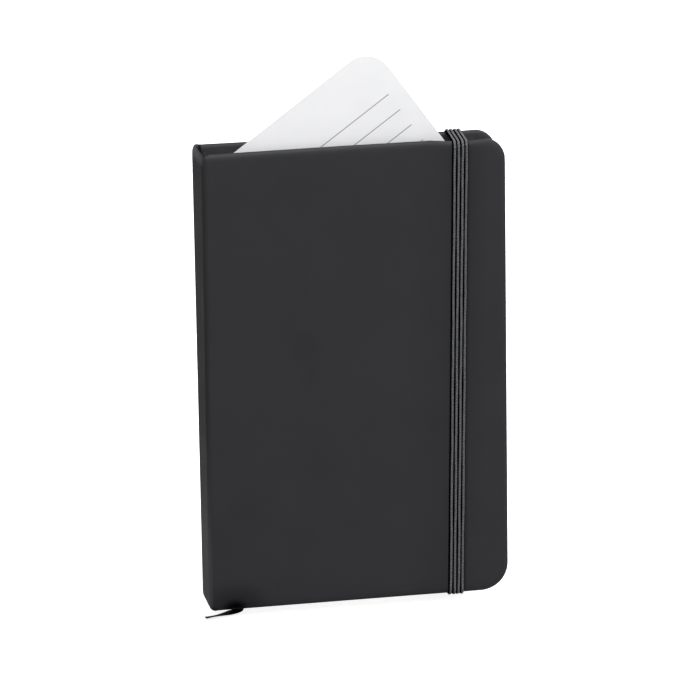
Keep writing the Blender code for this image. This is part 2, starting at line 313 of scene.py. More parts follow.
def cover_material(name):
    """Matt soft-touch covering: fine grain, slight mottling, a painted shadow by the ribbon, painted shade beside the
    elastic and painted light on the spine.
    """
    n = Nodes(name)
    rest = n.rest()
    cloud = n.noise(rest, 55.0, 4.0, 0.55, 0.4)
    patch = n.noise(rest, 14.0, 2.0, 0.5)
    grain = n.noise(rest, 2600.0, 3.0, 0.6)
    pores = n.noise(rest, 6500.0, 2.0, 0.5)
    tone = n.mix(n.mapped(cloud, 0.35, 0.65, 0.0, 1.0), COVER_DARK, COVER_LIGHT)
    tone = n.mix(n.mapped(patch, 0.3, 0.7, 0.0, 0.5), tone, COVER_MID)
    # painted shadow: a soft dark spot over the front cover's tail edge, where the ribbon leaves
    x, y, z = n.split(rest)
    dx = n.math("DIVIDE", n.math("SUBTRACT", x, 0.0077), 0.00145)
    dz = n.math("DIVIDE", n.math("SUBTRACT", z, (-HALF_H + 0.1) * MM), 0.00112)
    away = n.math("SQRT", n.math("ADD", n.math("MULTIPLY", dx, dx), n.math("MULTIPLY", dz, dz)))
    core = n.mapped(away, 0.9, 4.7, 1.0, 0.0, smooth=True)
    halo = n.mapped(away, 1.0, 9.5, 0.50, 0.0, smooth=True)
    facing = n.mapped(y, -(HALF_T - 0.2) * MM, -(HALF_T - 1.6) * MM, 1.0, 0.0)
    ribbon_shadow = n.math("MULTIPLY", n.math("MAXIMUM", core, halo), facing)
    tone = n.mix(ribbon_shadow, tone, (0.0004, 0.0004, 0.0004))
    # painted shadow of the elastic on the cover beside it, deepest near the head, and a darker rubbed patch
    xm, zm = n.math("MULTIPLY", x, 1000.0), n.math("MULTIPLY", z, 1000.0)
    from_band = n.math("SUBTRACT", n.math("SUBTRACT", xm, float(x_middle)), n.math("MULTIPLY", zm, float(LEAN)))
    core = n.mapped(from_band, 2.5, 3.9, 0.80, 0.0, smooth=True)
    wide = n.math("MULTIPLY", n.mapped(from_band, 2.5, 9.5, 0.34, 0.0, smooth=True), n.mapped(zm, -55.0, 45.0, 0.35, 1.0))
    right = n.math("MULTIPLY", n.math("MAXIMUM", core, wide), n.math("GREATER_THAN", from_band, 0.0))
    left = n.math("MULTIPLY", n.mapped(from_band, -16.0, -2.5, 0.0, 0.20), n.math("LESS_THAN", from_band, 0.0))
    ax = n.math("DIVIDE", n.math("SUBTRACT", xm, PATCH_X), 10.0)
    az = n.math("DIVIDE", n.math("SUBTRACT", zm, PATCH_Z), 11.0)
    reach = n.math("SQRT", n.math("ADD", n.math("MULTIPLY", ax, ax), n.math("MULTIPLY", az, az)))
    reach = n.math("ADD", reach, n.math("MULTIPLY", n.math("SUBTRACT", cloud, 0.5), 1.3))
    rubbed = n.mapped(reach, 0.15, 1.15, 0.22, 0.0, smooth=True)
    band_shadow_and_rub = n.math("MULTIPLY", n.math("MAXIMUM", n.math("MAXIMUM", right, left), rubbed), facing)
    tone = n.mix(band_shadow_and_rub, tone, (0.0014, 0.0014, 0.0017))
    # painted light on the spine: a painted highlight at its rounded head, and painted light a little towards the tail
    on_spine = n.mapped(xm, 0.4, 1.3, 1.0, 0.0)
    spine_head_highlight = n.mapped(zm, HALF_H - 4.4, HALF_H - 1.6, 0.0, 0.85, smooth=True)
    spine_head_highlight = n.math("MULTIPLY", spine_head_highlight, n.mapped(n.noise(rest, 2100.0, 3.0, 0.7), 0.35, 0.65, 0.55, 1.15))
    # painted light: lighter towards the tail, where light bounced up from the floor falls
    spine_tail_light = n.mapped(zm, 0.0, -HALF_H + 6.0, 0.0, 0.40, smooth=True)
    tone = n.mix(n.math("MULTIPLY", spine_tail_light, on_spine), tone, (0.085, 0.085, 0.090))
    tone = n.mix(n.math("MULTIPLY", spine_head_highlight, on_spine), tone, (0.165, 0.165, 0.172))
    # and is dullest in the middle, where a hand holds it
    held = n.math("MULTIPLY", n.mapped(zm, 60.0, 5.0, 0.0, 0.38, smooth=True), n.mapped(zm, -25.0, -62.0, 1.0, 0.0, smooth=True))
    dull = n.math("SUBTRACT", 1.0, n.math("MULTIPLY", held, on_spine))
    # the specular is also cut under the painted shadow by the ribbon
    n.link(n.math("MULTIPLY", n.mapped(ribbon_shadow, 0.0, 1.0, COVER_SPEC, 0.02), dull), n.shader.inputs["Specular IOR Level"])
    rough = n.mapped(cloud, 0.3, 0.7, 0.56, 0.66)
    height = n.math("ADD", grain, n.math("MULTIPLY", pores, 0.5))
    normal = n.bump(height, 0.22, 0.00006)
    return n.finish(tone, rough, normal)


COVER_DARK = (0.0150, 0.0150, 0.0173)
COVER_MID = (0.0167, 0.0167, 0.0192)
COVER_LIGHT = (0.0184, 0.0184, 0.0210)
PATCH_X, PATCH_Z = 30.3, 9.0
COVER_SPEC = 0.30


def paper_material(name, colour, lines=None):
    """Uncoated paper. lines = (first, pitch, lines on, axis pair) rules it in grey."""
    n = Nodes(name)
    rest = n.rest()
    fibre = n.noise(n.scaled(rest, (1.0, 1.0, 0.45)), 1500.0, 4.0, 0.65)
    cloud = n.noise(rest, 90.0, 3.0, 0.5)
    lo = tuple(c * 0.972 for c in colour)
    tone = n.mix(n.mapped(cloud, 0.35, 0.65, 0.0, 1.0), lo, colour)
    tone = n.mix(n.mapped(fibre, 0.3, 0.75, 0.0, 0.35), tone, tuple(c * 0.96 for c in colour))
    if lines:
        tone = n.mix(lines(n, rest), tone, (0.27, 0.275, 0.285))
    normal = n.bump(fibre, 0.12, 0.00004)
    return n.finish(tone, 0.88, normal, Specular_IOR_Level=0.25)


def ruling(origin, along, down, first, pitch, count, margin, reach, width=0.22):
    """Lines on a sheet whose corner is at origin; along and down are its edges' directions.

    Lengths in mm. Returns a function that gives 1 on a line and 0 off it."""

    def build(n, rest):
        x, _, z = n.split(rest)
        x = n.math("SUBTRACT", n.math("MULTIPLY", x, 1000.0), float(origin[0]))
        z = n.math("SUBTRACT", n.math("MULTIPLY", z, 1000.0), float(origin[1]))
        u = n.math("ADD", n.math("MULTIPLY", x, float(along[0])), n.math("MULTIPLY", z, float(along[1])))
        v = n.math("ADD", n.math("MULTIPLY", x, float(down[0])), n.math("MULTIPLY", z, float(down[1])))
        row = n.math("DIVIDE", n.math("SUBTRACT", v, float(first)), float(pitch))
        nearest = n.math("ROUND", row)
        off = n.math("MULTIPLY", n.math("ABSOLUTE", n.math("SUBTRACT", row, nearest)), float(pitch))
        line = n.mapped(off, width * 0.35, width * 0.65, 1.0, 0.0)
        inside = n.math("MULTIPLY", n.math("GREATER_THAN", u, float(margin)), n.math("LESS_THAN", u, float(reach)))
        rows = n.math("MULTIPLY", n.math("GREATER_THAN", nearest, -0.5), n.math("LESS_THAN", nearest, count - 0.5))
        return n.math("MULTIPLY", line, n.math("MULTIPLY", inside, rows))

    return build


def elastic_material(name):
    """Ribbed elastic: covered cords with slanting stitches, and between them grooves of dark yarn painted near-black as
    shade.
    """
    n = Nodes(name)
    rest = n.rest()
    cord = n.attribute("cord")
    along, across = n.attribute("along"), n.attribute("across")
    slant = n.math("ADD", n.math("MULTIPLY", along, 2 * math.pi / 0.93), n.math("MULTIPLY", across, 6.5))
    stitch = n.math("MULTIPLY_ADD", n.math("SINE", slant), 0.5, 0.5)
    lay = n.add("ShaderNodeCombineXYZ")
    n.link(n.math("MULTIPLY", along, 0.55), lay.inputs[0])
    n.link(across, lay.inputs[1])
    uneven = n.noise(lay.outputs[0], 2.6, 3.0, 0.75)
    fuzz = n.noise(rest, 5200.0, 3.0, 0.7)
    top = n.mapped(cord, 0.30, 0.85, 0.0, 1.0, smooth=True)
    yarn = n.mix(stitch, (0.070, 0.070, 0.075), (0.222, 0.224, 0.235))
    yarn = n.mix(n.mapped(uneven, 0.40, 0.60, 0.85, 0.0), yarn, (0.045, 0.045, 0.048))
    yarn = n.mix(n.mapped(fuzz, 0.35, 0.7, 0.0, 0.4), yarn, (0.045, 0.045, 0.048))
    # painted shade: away from the cords' tops the colour is near-black
    tone = n.mix(top, (0.0008, 0.0008, 0.0010), yarn)
    n.link(n.math("MULTIPLY", top, 0.3), n.shader.inputs["Specular IOR Level"])
    height = n.math("ADD", n.math("MULTIPLY", stitch, top), n.math("MULTIPLY", fuzz, 0.5))
    normal = n.bump(height, 0.6, 0.00010)
    return n.finish(tone, 0.8, normal)


def cloth_material(name, dark, light, across, rough=0.8, satin=False):
    """Fine woven stuff: crossed threads from two wave patterns."""
    n = Nodes(name)
    rest = n.rest()
    x, y, z = n.split(rest)
    axis_u, axis_v = {"xz": (x, z), "yz": (y, z)}[across]
    k = 2 * math.pi / (0.34 if satin else 0.55) * 1000.0
    warp = n.math("SINE", n.math("MULTIPLY", axis_u, k))
    weft = n.math("SINE", n.math("MULTIPLY", axis_v, k * (0.8 if satin else 1.0)))
    weave = n.math("ADD", n.math("MULTIPLY", n.math("MULTIPLY", warp, weft), 0.25), 0.5)
    fuzz = n.noise(rest, 3800.0, 3.0, 0.6)
    tone = n.mix(n.math("ADD", n.math("MULTIPLY", weave, 0.7), n.math("MULTIPLY", fuzz, 0.3)), dark, light)
    normal = n.bump(weave, 0.5, 0.00007)
    return n.finish(tone, rough, normal, Specular_IOR_Level=0.14 if satin else 0.25)


def board_material(name):
    """Raw grey board: flecks and pressed fibres."""
    n = Nodes(name)
    rest = n.rest()
    fleck = n.noise(rest, 900.0, 5.0, 0.7, 1.0)
    layers = n.noise(n.scaled(rest, (1.0, 14.0, 1.0)), 260.0, 3.0, 0.6)
    tone = n.mix(n.mapped(fleck, 0.35, 0.65, 0.0, 1.0), (0.20, 0.185, 0.165), (0.36, 0.34, 0.31))
    tone = n.mix(n.mapped(layers, 0.35, 0.65, 0.0, 0.4), tone, (0.16, 0.15, 0.135))
    return n.finish(tone, 0.9, n.bump(fleck, 0.4, 0.0001), Specular_IOR_Level=0.2)


COVER = cover_material("soft_touch_cover")
PAPER_TONE = (0.80, 0.80, 0.805)
page_rules = ruling(
    (PAGE_X0, PAGE_Z), (1, 0), (0, -1), 14.9, 5.8, 20, 4.9, PAGE_X1 - PAGE_X0 - 4.9
)
PAGE = paper_material("ruled_page", (0.80, 0.797, 0.785), page_rules)
ENDPAPER = paper_material("endpaper", (0.79, 0.785, 0.77))
ELASTIC = elastic_material("ribbed_elastic")
RIBBON = cloth_material("satin_ribbon", (0.0012, 0.0012, 0.0014), (0.0042, 0.0042, 0.0046), "xz", 0.5, satin=True)
MULL = cloth_material("mull_cloth", (0.45, 0.43, 0.38), (0.74, 0.72, 0.66), "yz", 0.9)
# painted shade: the head and tail bands are near-black, standing in for the shadow in the spine's hollow at the head
BAND = cloth_material("headband_cotton", (0.006, 0.006, 0.007), (0.022, 0.022, 0.024), "yz", 0.85)
THREAD = cloth_material("linen_thread", (0.62, 0.60, 0.54), (0.82, 0.80, 0.74), "yz", 0.7)
BOARD = board_material("grey_board")


# ------------------------------------------------------------- case covering
# The covering's section across a head, tail or fore-edge: d is the distance in
# from that edge and h the depth below the outer face. It runs from the middle of
# the outer face, round the edge, along the turn-in, and back inside the skin.
def edge_section(depth=THICK):
    out = [
        (16.0, 0.0), (9.0, 0.0), (5.0, 0.0), (3.4, 0.0), (2.6, 0.008), (2.0, 0.03), (1.5, 0.075),
        (1.1, 0.15), (0.75, 0.27), (0.46, 0.43), (0.24, 0.63), (0.09, 0.87), (0.01, 1.14),
        (0.0, 1.40), (0.05, 1.66), (0.17, 1.90), (0.36, 2.12), (0.60, 2.29), (0.90, 2.39), (1.3, 2.44),
        (2.0, 2.45), (4.0, 2.45), (7.5, 2.45), (TURN_IN_W - 0.35, 2.45), (TURN_IN_W - 0.08, 2.40),
    ]
    back = [
        (TURN_IN_W, 2.22), (TURN_IN_W - 0.3, 2.15), (7.5, 2.15), (4.0, 2.15), (2.0, 2.15), (1.4, 2.12), (1.05, 2.02),
        (0.82, 1.88), (0.66, 1.72), (0.57, 1.55), (0.53, 1.40), (0.53, 1.2), (0.58, 1.02), (0.70, 0.84),
        (0.88, 0.70), (1.15, 0.59), (1.5, 0.51), (1.9, 0.47), (2.3, 0.455), (2.8, 0.45), (3.4, 0.45), (4.2, 0.45),
        (5.5, 0.45), (9.0, 0.45), (16.0, 0.45),
    ]
    assert len(out) == len(back)
    return out + back


def deepen(h, depth):
    """A depth in the full cover's section, for a place where the case is thinner."""
    if depth >= THICK - 1e-6 or h <= 0.6:
        return h
    if h >= THICK - 0.6:
        return depth - (THICK - h)
    share = (h - 0.6) / (THICK - 1.2)
    return 0.6 + share * (depth - 1.2)


def hinge_stations(side, steps_arc, arc_from, arc_to, flat_to=None, depth_arc=1.2, depth_spine=1.28):
    """Places across the case from the spine towards the cover: position, outward normal, depth."""
    out = []
    if flat_to is not None:
        for y in np.linspace(flat_to, side * (SPINE_FLAT - 0.7), 5)[:-1]:
            out.append(((0.0, y), (-1.0, 0.0), depth_spine))
        for k, share in ((0.7, 1.0), (0.45, 0.55), (0.2, 0.15)):
            out.append(((0.0, side * (SPINE_FLAT - k)), (-1.0, 0.0), depth_arc + (depth_spine - depth_arc) * share))
    for a in np.radians(np.linspace(arc_from, arc_to, steps_arc + 1)):
        n = (-math.cos(a), side * math.sin(a))
        out.append(((SPINE_R + SPINE_R * n[0], side * SPINE_FLAT + SPINE_R * n[1]), n, depth_arc))
    return out


def ramp(v, a, b):
    t = np.clip((v - a) / (b - a), 0.0, 1.0)
    return t * t * (3 - 2 * t)


def press(points):
    """The elastic has pressed the head edge down where it crosses, more at the front than at the back."""
    p = np.array(points, float)
    x, y, z = p[:, 0], p[:, 1], p[:, 2]
    across = ramp(x, 70.5, 77.5) * (1 - ramp(x, 81.0, 89.0))
    share = 0.22 + 0.78 * np.clip((HALF_T - y) / (2 * HALF_T - 1.0), 0, 1)
    p[:, 2] -= 0.85 * across * share * ramp(z, 50.0, HALF_H - 0.8)
    return p


def settle(points):
    """A used case: the spine leans in at the head, and the front cover sits a hair low by the joint."""
    p = press(points)
    x, y, z = p[:, 0], p[:, 1], p[:, 2]
    front = np.clip((HALF_T - SPINE_R - y) / (2 * HALF_T - SPINE_R), 0, 1)
    lean = 0.78 * front * ramp(z, -10.0, 66.0) * (1 - ramp(x, 1.5, 10.5))
    low = front * (0.34 * np.clip(1 - x / 75.0, 0, 1) + 0.34 * np.clip(1 - x / 45.0, 0, 1) * ramp(z, 45.0, HALF_H))
    p[:, 0] += lean
    p[:, 2] -= low
    # the joint's corners are worn round
    worn = np.clip(1 - x / 2.6, 0, 1) ** 2 * ramp(front, 0.70, 1.0)
    p[:, 2] += worn * (0.85 * ramp(-z, 66.5, HALF_H) - 0.30 * ramp(z, 66.5, HALF_H))
    return p


def case_piece(name, side, stations, with_cover, pleats=True):
    """One piece of covering. stations run from its spine end; with_cover adds the whole cover."""
    section = edge_section()
    J = len(section)
    n_side = 26 if with_cover else 0
    arc_n, fore_n = 28, 7
    shares = np.linspace(0, 1, n_side + 1)[1:] ** 1.7 if with_cover else []

    def ring(j):
        d, h = section[j]
        pts = []
        for (px, py), (nx, ny), depth in stations:
            hh = deepen(h, depth)
            pts.append((px - nx * hh, py - ny * hh, -(HALF_H - d)))
        if with_cover:
            r, r_head = max(TAIL_R - d, 0.25), max(HEAD_R - d, 0.25)
            cx, cz = X1 - d - r, HALF_H - d - r
            cx_head, cz_head = X1 - d - r_head, HALF_H - d - r_head

            def edge_row(x_corner, z):
                row = []
                for s in shares:
                    x = SPINE_R + (x_corner - SPINE_R) * s
                    # the case is thin at the joint and full over the board
                    grow = min(1.0, max(0.0, (x - SPINE_R - 0.25) / 0.8))
                    grow = grow * grow * (3 - 2 * grow)
                    hh = deepen(h, 1.2 + (THICK - 1.2) * grow)
                    row.append((x, side * (HALF_T - hh), z))
                return row

            pts += edge_row(cx, -(HALF_H - d))
            arc = []
            for i in range(1, arc_n):
                a = math.pi / 2 * i / arc_n
                hh = h
                if pleats and h > 1.6:
                    # the turn-in gathers into small pleats round the corner
                    fold = 0.5 - 0.5 * math.cos(a * 4 * 7)
                    room = min(1.0, max(0.0, (d - 0.8) / 2.5)) * min(1.0, max(0.0, (TURN_IN_W + 0.5 - d) / 2.0))
                    hh = h - 0.20 * fold * room
                arc.append((a, hh))
            for a, hh in arc:
                pts.append((cx + r * math.sin(a), side * (HALF_T - hh), -cz - r * math.cos(a)))
            for z in np.linspace(-cz, cz_head, fore_n):
                pts.append((cx + r, side * (HALF_T - h), z))
            for a, hh in arc[::-1]:
                pts.append((cx_head + r_head * math.sin(a), side * (HALF_T - hh), cz_head + r_head * math.cos(a)))
            pts += edge_row(cx_head, HALF_H - d)[::-1]
        for (px, py), (nx, ny), depth in stations[::-1]:
            hh = deepen(h, depth)
            pts.append((px - nx * hh, py - ny * hh, HALF_H - d))
        return pts

    rings = np.array([ring(j) for j in range(J)])
    m = rings.shape[1]
    faces = quads(J, m)
    at = lambda j, i: j * m + i
    half_side = len(stations) + n_side            # points along the tail before the corner
    for j in (0, J - 1):                          # close the middle of the outer and inner skin
        for i in range(half_side - 1):
            faces.append((at(j, i), at(j, i + 1), at(j, m - 2 - i), at(j, m - 1 - i)))
        if with_cover:
            faces.append(tuple(at(j, i) for i in range(half_side - 1, m - half_side + 1)))
    ends = [(0, m - 1)] if with_cover else [(0, m - 1), (half_side - 1, m - half_side)]
    for a, b in ends:                             # cut ends, where the next piece carries on
        for i in (a, b):
            for j in range(J // 2 - 1):
                faces.append((at(j, i), at(j + 1, i), at(J - 2 - j, i), at(J - 1 - j, i)))
        faces.append((at(0, a), at(0, b), at(J - 1, b), at(J - 1, a)))
    return make_object(name, settle(rings.reshape(-1, 3)), faces, COVER, sharp=50.0)


def cut_slot(obj, x, z, y0, y1, half_x=2.85, half_z=0.62):
    """A slot with rounded ends through one cover, for the elastic."""
    mesh = bpy.data.meshes.new("slot")
    work = bmesh.new()
    bmesh.ops.create_cube(work, size=1.0)
    bmesh.ops.scale(work, vec=(2 * half_x * MM, (y1 - y0) * MM, 2 * half_z * MM), verts=work.verts)
    bmesh.ops.translate(work, vec=(x * MM, (y0 + y1) / 2 * MM, z * MM), verts=work.verts)
    along = [e for e in work.edges if abs((e.verts[0].co - e.verts[1].co).y) > (y1 - y0) * MM * 0.9]
    bmesh.ops.bevel(work, geom=along, offset=0.5 * MM, segments=4, affect="EDGES", profile=0.5)
    work.to_mesh(mesh)
    work.free()
    cutter = bpy.data.objects.new("slot", mesh)
    scene.collection.objects.link(cutter)
    mod = obj.modifiers.new("slot", "BOOLEAN")
    mod.operation, mod.solver, mod.object = "DIFFERENCE", "EXACT", cutter
    bpy.context.view_layer.update()
    graph = bpy.context.evaluated_depsgraph_get()
    done = bpy.data.meshes.new_from_object(obj.evaluated_get(graph))
    obj.modifiers.clear()
    old = obj.data
    obj.data = done
    bpy.data.meshes.remove(old)
    bpy.data.objects.remove(cutter, do_unlink=True)
    dress(obj, done.materials[0], 40.0)


# Elastic: its line on the front cover leans a little, as the CAD band does.
band_lo, band_hi = box_mm("elastic_band")
BAND_W, BAND_T = 4.95, 0.9
def centre_x(y, z):
    back = min(1.0, max(0.0, (y + HALF_T) / (2 * HALF_T)))
    # it drifts while it crosses the head and the tail, and comes back on its way to the slots
    near_edge = min(1.0, max(0.0, (abs(z) - SLOT_Z) / (HALF_H - SLOT_Z)))
    return x_middle + LEAN * z + math.copysign(back, z) * (0.2 + 0.55 * near_edge)


stations_back = hinge_stations(+1, 20, 0, 90, flat_to=0.0)
case_back = case_piece("case_back_and_spine", +1, stations_back, True)
for z in (SLOT_Z, -SLOT_Z):
    cut_slot(case_back, centre_x(HALF_T, z), z, HALF_T - 3.2, HALF_T + 1.0)
stations_mid = hinge_stations(-1, 12, 0, 45, flat_to=0.0)
case_mid = case_piece("case_spine_front", -1, stations_mid, False)
stations_front = hinge_stations(-1, 12, 45, 90)
case_front = case_piece("case_front", -1, stations_front, True)


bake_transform(case_back)
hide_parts("back_cover_skin", "back_joint_skin", "spine_skin")
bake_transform(case_mid)
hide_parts("front_joint_skin")
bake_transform(case_front)
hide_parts("front_cover_skin")


# -------------------------------------------------------------------- boards
def board_piece(name, node, body, side, slots=False):
    lo, hi = box_mm(node)
    y_out = hi[1] if side > 0 else lo[1]
    thick = hi[1] - lo[1]
    inset = X1 - hi[0]
    # clear of the rounded inside of the covering
    loop = [(2.6, 0.0), (1.7, 0.05), (1.15, 0.17), (0.8, 0.33), (0.55, 0.6), (0.5, 0.85), (0.5, 1.05), (0.55, 1.2), (0.7, 1.38), (1.0, 1.52), (1.6, thick), (2.6, thick)]
    rings = []
    for d, h in loop:
        d = d + inset - 0.42
        r = CORNER_R + 0.8 - d
        cx, cz = X1 - d - r, HALF_H - d - r
        pts = [(lo[0], side * 0, -(HALF_H - d))]
        for i in range(0, 11):
            a = math.pi / 2 * i / 10
            pts.append((cx + r * math.sin(a), 0, -cz - r * math.cos(a)))
        for i in range(10, -1, -1):
            a = math.pi / 2 * i / 10
            pts.append((cx + r * math.sin(a), 0, cz + r * math.cos(a)))
        pts.append((lo[0], 0, HALF_H - d))
        rings.append([(x, y_out - side * h, z) for x, _, z in pts])
    rings = np.array(rings)
    J, m = rings.shape[:2]
    faces = quads(J, m)
    at = lambda j, i: j * m + i
    for j in (0, J - 1):
        faces.append(tuple(at(j, i) for i in range(m)))
    faces.append(tuple([at(j, 0) for j in range(J)] + [at(j, m - 1) for j in range(J - 1, -1, -1)]))
    obj = make_object(name, settle(rings.reshape(-1, 3)), faces, BOARD, sharp=40.0)
    if slots:
        for z in (SLOT_Z, -SLOT_Z):
            cut_slot(obj, centre_x(HALF_T, z), z, HALF_T - 4.0, HALF_T + 1.0, 3.0, 0.7)
    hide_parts(node)
    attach(obj, body)
    return obj


board_piece("board_front", "front_board", "front_cover", -1)
board_piece("board_back", "back_board", "back_cover", +1, slots=True)

lo, hi = box_mm("spine_board")
outline = []                               # a thin strip with rounded long edges
for a in np.radians(np.linspace(90, 270, 7)):
    outline.append((0.74 + 0.20 * math.sin(a), lo[1] + 0.2 + 0.2 * math.cos(a)))
for a in np.radians(np.linspace(-90, 90, 7)):
    outline.append((0.74 + 0.20 * math.sin(a), hi[1] - 0.2 + 0.2 * math.cos(a)))
strip = np.array([[(x, y, z) for x, y in outline] for z in np.linspace(lo[2] + 0.6, hi[2] - 0.6, 24)])
faces = quads(*strip.shape[:2], wrap_n=True)
faces += [tuple(range(len(outline))), tuple(23 * len(outline) + j for j in range(len(outline)))]
spine_stiff = make_object("board_spine", settle(strip.reshape(-1, 3)), faces, BOARD)
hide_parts("spine_board")
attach(spine_stiff, "spine")


# -------------------------------------------------------------------- leaves
def leaf_columns(x_from, x_to, r, z_half):
    """x stations from the fore-edge back to the gutter, with the sheet's half height at each."""
    cols = []
    for i in range(9):
        a = math.pi / 2 * (1 - i / 8)
        cols.append((x_to - r + r * math.sin(a), z_half - r + r * math.cos(a)))
    for x in np.linspace(x_to - r, x_from, 9)[1:]:
        cols.append((x, z_half))
    return cols


def folded_sheet(y_front, y_back, x_fold, x_edge, z_half, t, bulge=0.0, fold_steps=8):
    """A sheet folded once: two leaves joined at the spine. Closed and thin."""
    mid, r = (y_front + y_back) / 2, abs(y_back - y_front) / 2
    deep = min(0.55, r)
    cols = leaf_columns(x_fold + deep, x_edge, PAGE_R - (PAGE_X1 - x_edge), z_half)
    pts, normals, heights = [], [], []
    for x, zh in cols:
        pts.append((x, y_front))
        normals.append((0.0, -1.0))
        heights.append(zh)
    for i in range(1, fold_steps):
        a = math.pi * i / fold_steps
        pts.append((x_fold + deep - deep * math.sin(a), mid - r * math.cos(a)))
        nx, ny = -math.sin(a) / max(deep, 1e-3), -math.cos(a) / max(r, 1e-3)
        ln = math.hypot(nx, ny)
        normals.append((nx / ln, ny / ln))
        heights.append(z_half)
    for x, zh in cols[::-1]:
        pts.append((x, y_back))
        normals.append((0.0, 1.0))
        heights.append(zh)
    v = np.array([-1.0, 1.0])
    P = np.array([[(x, y, zh * k) for k in v] for (x, y), zh in zip(pts, heights)])
    N = np.array([[(nx, ny, 0.0)] * 2 for nx, ny in normals])
    return thin_solid(P, N, t)


def section_piece(node, body):
    lo, hi = box_mm(node)
    leaves = 16
    pitch = (hi[1] - lo[1]) / leaves
    parts = []
    for j in range(leaves // 2):
        off = (j + 0.5) * pitch
        parts.append(
            folded_sheet(
                lo[1] + off,
                hi[1] - off,
                lo[0] + 0.06 + j * pitch,
                hi[0] - 0.03 - rng.uniform(0, 0.09),
                hi[2] - 0.62 - rng.uniform(0, 0.05),
                pitch * 0.86,
            )
        )
    verts, faces = merge_parts(parts)
    obj = make_object("leaves_" + node, verts, faces, PAGE, sharp=40.0)
    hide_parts(node)
    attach(obj, body)
    return obj


for name in SECTIONS:
    body = "upper_pages" if name in ("section_1", "section_2", "section_3") else "back_cover"
    section_piece(name, body)


# ----------------------------------------------------------------- endpapers
def endpaper_piece(name, paste_node, fly_node, side):
    """One endpaper: the pasted half, the fold in the gutter and the free half."""
    p_lo, p_hi = box_mm(paste_node)
    f_lo, f_hi = box_mm(fly_node)
    y_p, y_f = (p_lo[1] + p_hi[1]) / 2, (f_lo[1] + f_hi[1]) / 2
    t = f_hi[1] - f_lo[1]
    y_p += side * ((p_hi[1] - p_lo[1]) - t) / 2       # lies against the cover
    r = abs(y_p - y_f) / 2
    x_fold = f_lo[0] + 0.1
    pts, normals, heights = [], [], []
    for x, zh in leaf_columns(x_fold + 0.5, f_hi[0] - 0.1, PAGE_R, f_hi[2] - 0.05):
        pts.append((x, y_f)); normals.append((0.0, -side)); heights.append(zh)
    for i in range(1, 24):
        a = math.pi * i / 24
        pts.append((x_fold + 0.5 - 0.5 * math.sin(a), (y_f + y_p) / 2 - side * r * math.cos(a)))
        nx, ny = -math.sin(a) / 0.5, -side * math.cos(a) / r
        ln = math.hypot(nx, ny)
        normals.append((nx / ln, ny / ln)); heights.append(f_hi[2] - 0.05)
    for x, zh in leaf_columns(x_fold + 0.5, p_hi[0], PAGE_R - 1.0, p_hi[2])[::-1]:
        pts.append((x, y_p)); normals.append((0.0, side)); heights.append(zh)
    heights = [zh - 0.5 - 1.7 * math.exp(-(((x - x_fold) / 1.6) ** 2)) for (x, _), zh in zip(pts, heights)]
    v = np.linspace(-1, 1, 3)
    P = np.array([[(x, y, zh * k) for k in v] for (x, y), zh in zip(pts, heights)])
    N = np.array([[(nx, ny, 0.0)] * 3 for nx, ny in normals])
    verts, faces = thin_solid(P, N, t)
    obj = make_object(name, verts, faces, ENDPAPER, sharp=40.0)
    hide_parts(paste_node, fly_node)
    return obj


end_back = endpaper_piece("endpaper_back", "back_pastedown", "back_flyleaf", +1)
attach(end_back, "back_cover")


def paper_path(name, bend, leaf_cols, y_leaf, leaf_normal, t):
    """A sheet that runs along bend (points in x and y) and then on as a leaf with rounded corners."""
    pts = list(bend) + [(x, y_leaf) for x, _ in leaf_cols]
    heights = [leaf_cols[0][1] - 2.2 * math.exp(-(((x - 2.9) / 2.2) ** 2)) for x, _ in bend]
    heights += [zh - 2.2 * math.exp(-(((x - 2.9) / 2.2) ** 2)) for x, zh in leaf_cols]
    path = np.array(pts, float)
    along = np.gradient(path, axis=0)
    along /= np.maximum(np.linalg.norm(along, axis=1, keepdims=True), 1e-9)
    side_n = np.stack([along[:, 1], -along[:, 0]], -1)
    if side_n[-1] @ np.array(leaf_normal) < 0:
        side_n = -side_n
    v = np.linspace(-1, 1, 25)
    P = np.array([[(x, y, zh * k) for k in v] for (x, y), zh in zip(pts, heights)])
    N = np.array([[(nx, ny, 0.0)] * len(v) for nx, ny in side_n])
    verts, faces = thin_solid(P, N, t)
    return make_object(name, settle(verts), faces, ENDPAPER, sharp=40.0)


f_lo, f_hi = box_mm("front_flyleaf")
p_lo, p_hi = box_mm("front_pastedown")
fly_bend = smooth_path([(0.85, -6.05), (1.25, -5.75), (1.7, -5.35), (2.2, -4.95), (2.7, -4.72), (3.1, (f_lo[1] + f_hi[1]) / 2)], 4)
fly_cols = leaf_columns(3.3, f_hi[0] - 0.1, PAGE_R, f_hi[2] - 0.05)[::-1]
flyleaf = paper_path("flyleaf_front", fly_bend, fly_cols, (f_lo[1] + f_hi[1]) / 2, (0.0, -1.0), f_hi[1] - f_lo[1])
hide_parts("front_flyleaf")
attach(flyleaf, "front_joint")
paste_y = p_lo[1] + 0.07
paste_bend = smooth_path([(0.9, -6.12), (1.35, -6.18), (1.7, -6.12), (1.95, -5.90), (2.18, -5.50), (2.42, -5.14), (2.75, -4.97), (3.1, paste_y)], 4)
paste_cols = leaf_columns(3.3, p_hi[0], PAGE_R - 1.0, p_hi[2])[::-1]
pastedown = paper_path("pastedown_front", paste_bend, paste_cols, paste_y, (0.0, 1.0), 0.12)
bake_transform(pastedown)
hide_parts("front_pastedown")


# --------------------------------------------------------------- loose sheet
sheet_cad = np.array([v.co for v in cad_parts["loose_sheet"].data.vertices]) / MM
sheet_lo, sheet_hi = box_mm("loose_sheet")
sheet_y = (sheet_lo[1] + sheet_hi[1]) / 2
